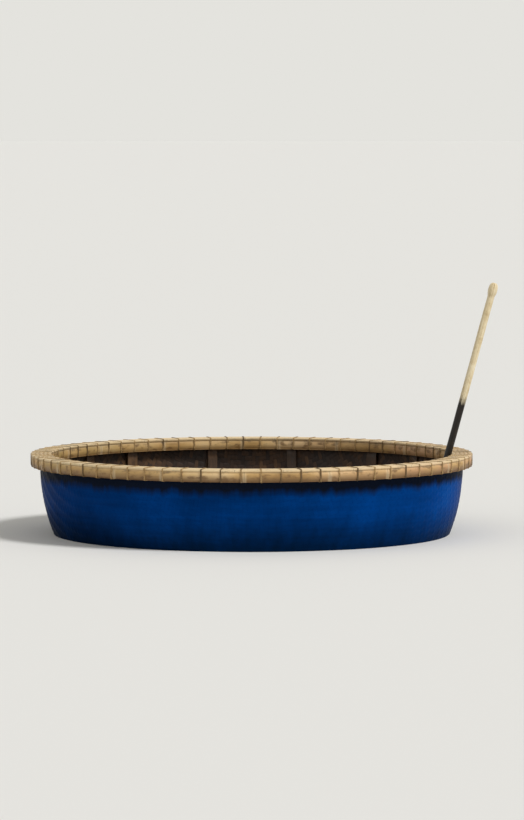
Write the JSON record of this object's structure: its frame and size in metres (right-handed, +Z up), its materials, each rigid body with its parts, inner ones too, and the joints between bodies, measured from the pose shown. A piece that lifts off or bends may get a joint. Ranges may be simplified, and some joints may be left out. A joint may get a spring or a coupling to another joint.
{
  "type": "round woven coracle",
  "caption": "Round bowl-shaped basket boat: painted woven bamboo skin, laced split-bamboo rim, crossed ribs, a thwart on poles, and a long-bladed paddle stowed against the rim.",
  "frame": {"origin": "middle of the flat sole, on the ground that the empty boat stands on", "axes": "+Z up, +X towards the side where the paddle leans, +Y across, away from the picture's camera"},
  "size_m": [2.0113, 1.9064, 1.2939],
  "materials": {
    "painted_weave": "satin",
    "rim_bamboo": "satin",
    "rib_bamboo": "matte",
    "plank_wood": "matte",
    "pole_bamboo": "satin",
    "paddle_wood": "satin",
    "lashing_cord": "matte"
  },
  "bodies": {
    "boat": {"hull_skin": "painted_weave", "rim_outer_hoop": "rim_bamboo", "rim_inner_hoop": "rim_bamboo", "rim_splint_1": "rim_bamboo", "rim_splint_2": "rim_bamboo", "rim_splint_3": "rim_bamboo", "rim_splint_4": "rim_bamboo", "rim_splint_5": "rim_bamboo", "rim_lashings": "lashing_cord", "rib_long_1": "rib_bamboo", "rib_long_2": "rib_bamboo", "rib_long_3": "rib_bamboo", "rib_long_4": "rib_bamboo", "rib_cross_1": "rib_bamboo", "rib_cross_2": "rib_bamboo", "rib_cross_3": "rib_bamboo", "rib_cross_4": "rib_bamboo", "thwart_plank": "plank_wood", "thwart_pole_front": "pole_bamboo", "thwart_pole_back": "pole_bamboo", "thwart_lashings": "lashing_cord"},
    "paddle": {"paddle_shaft": "paddle_wood", "paddle_blade": "paddle_wood", "paddle_bindings": "lashing_cord"}
  },
  "joints": [
    {"name": "paddle_lift", "type": "slide", "parent": "boat", "child": "paddle", "axis": [0, 0, 1], "range_m": [0, 0.9]}
  ]
}
